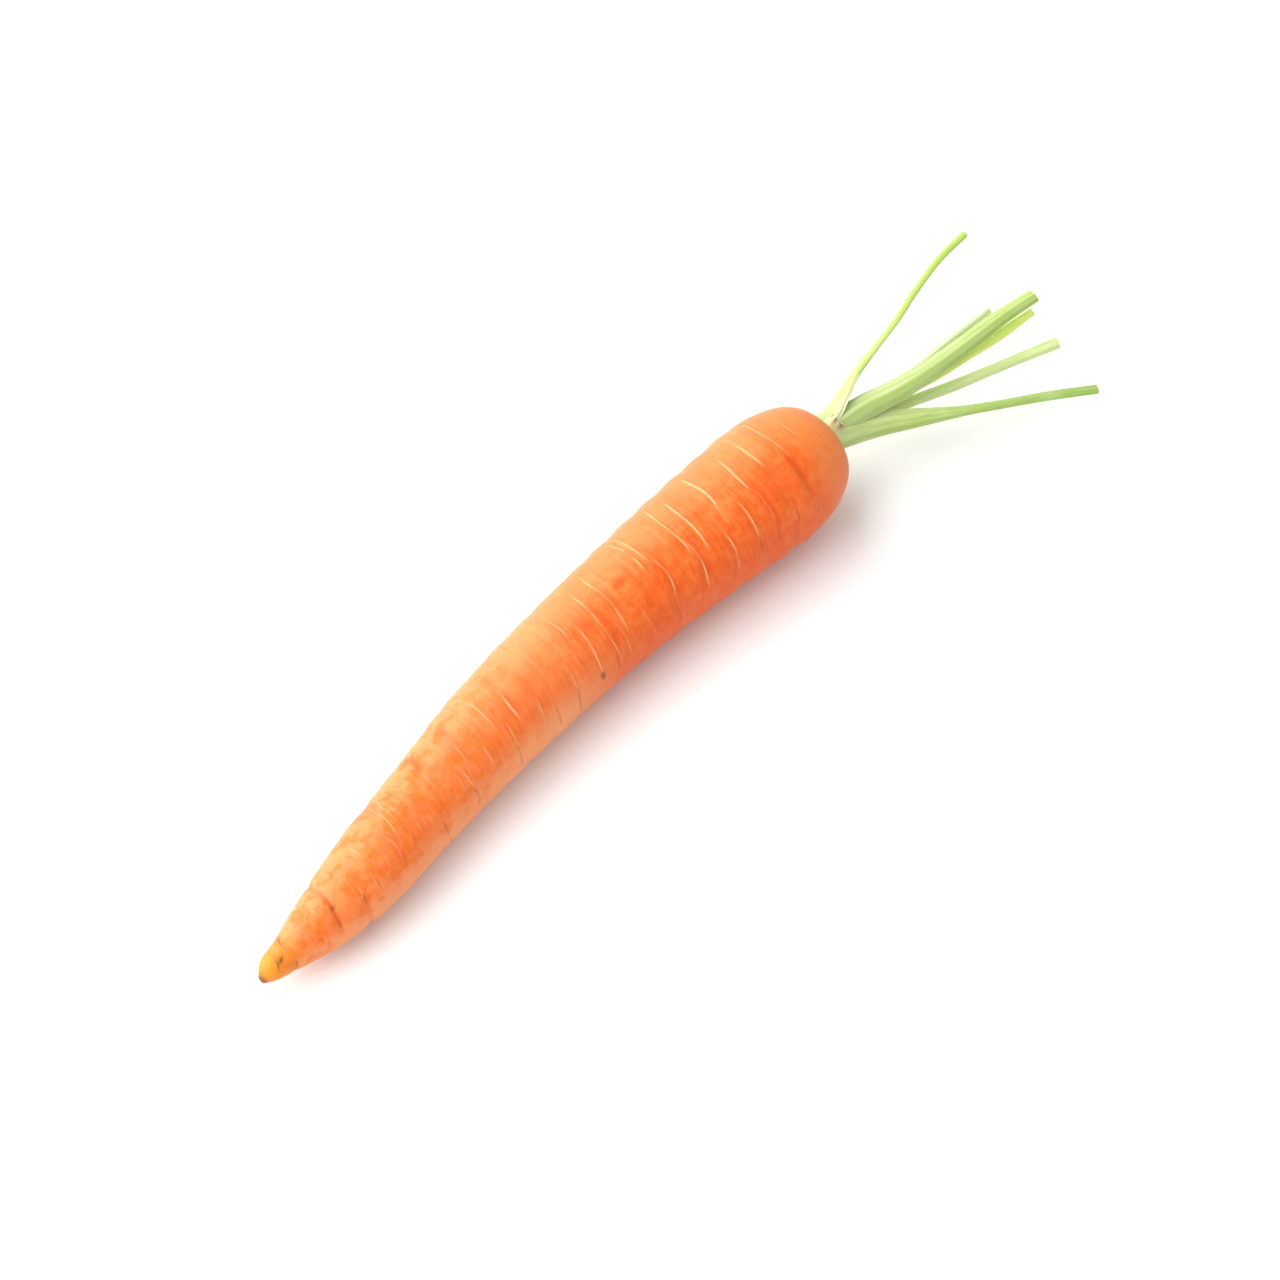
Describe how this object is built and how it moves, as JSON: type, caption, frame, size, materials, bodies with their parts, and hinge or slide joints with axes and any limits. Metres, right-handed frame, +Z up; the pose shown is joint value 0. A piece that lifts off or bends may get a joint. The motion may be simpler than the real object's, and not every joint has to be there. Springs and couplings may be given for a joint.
{
  "type": "carrot",
  "caption": "Whole fresh carrot lying on its side: a gently bent tapering taproot with a rounded shoulder, and short cut leaf stalks on its crown.",
  "frame": {"origin": "under the middle of the carrot's overall box, on the surface that it lies on", "axes": "+X from the root's tip towards the crown and the cut leaf stalks, +Z up from the surface"},
  "size_m": [0.2636, 0.0576, 0.0384],
  "materials": {
    "root_skin": "moist fresh carrot skin: orange, mottled, soft gloss, fine pale cross-marks and shallow rings",
    "crown_tissue": "pale green fibrous stem tissue, satin",
    "leaf_stalk": "fresh yellow-green leaf stalk, finely ribbed along its length, satin",
    "old_leaf": "dry pale leaf base with a brown torn edge, matt"
  },
  "bodies": {
    "root": {"taproot": "root_skin", "crown": "crown_tissue", "leaf_stalk_long": "leaf_stalk", "leaf_stalk_thin": "leaf_stalk", "leaf_stalk_broad": "leaf_stalk", "leaf_stalk_middle": "leaf_stalk", "leaf_stalk_rear": "leaf_stalk", "leaf_stalk_inner": "leaf_stalk", "old_leaf_base": "old_leaf"}
  },
  "joints": []
}
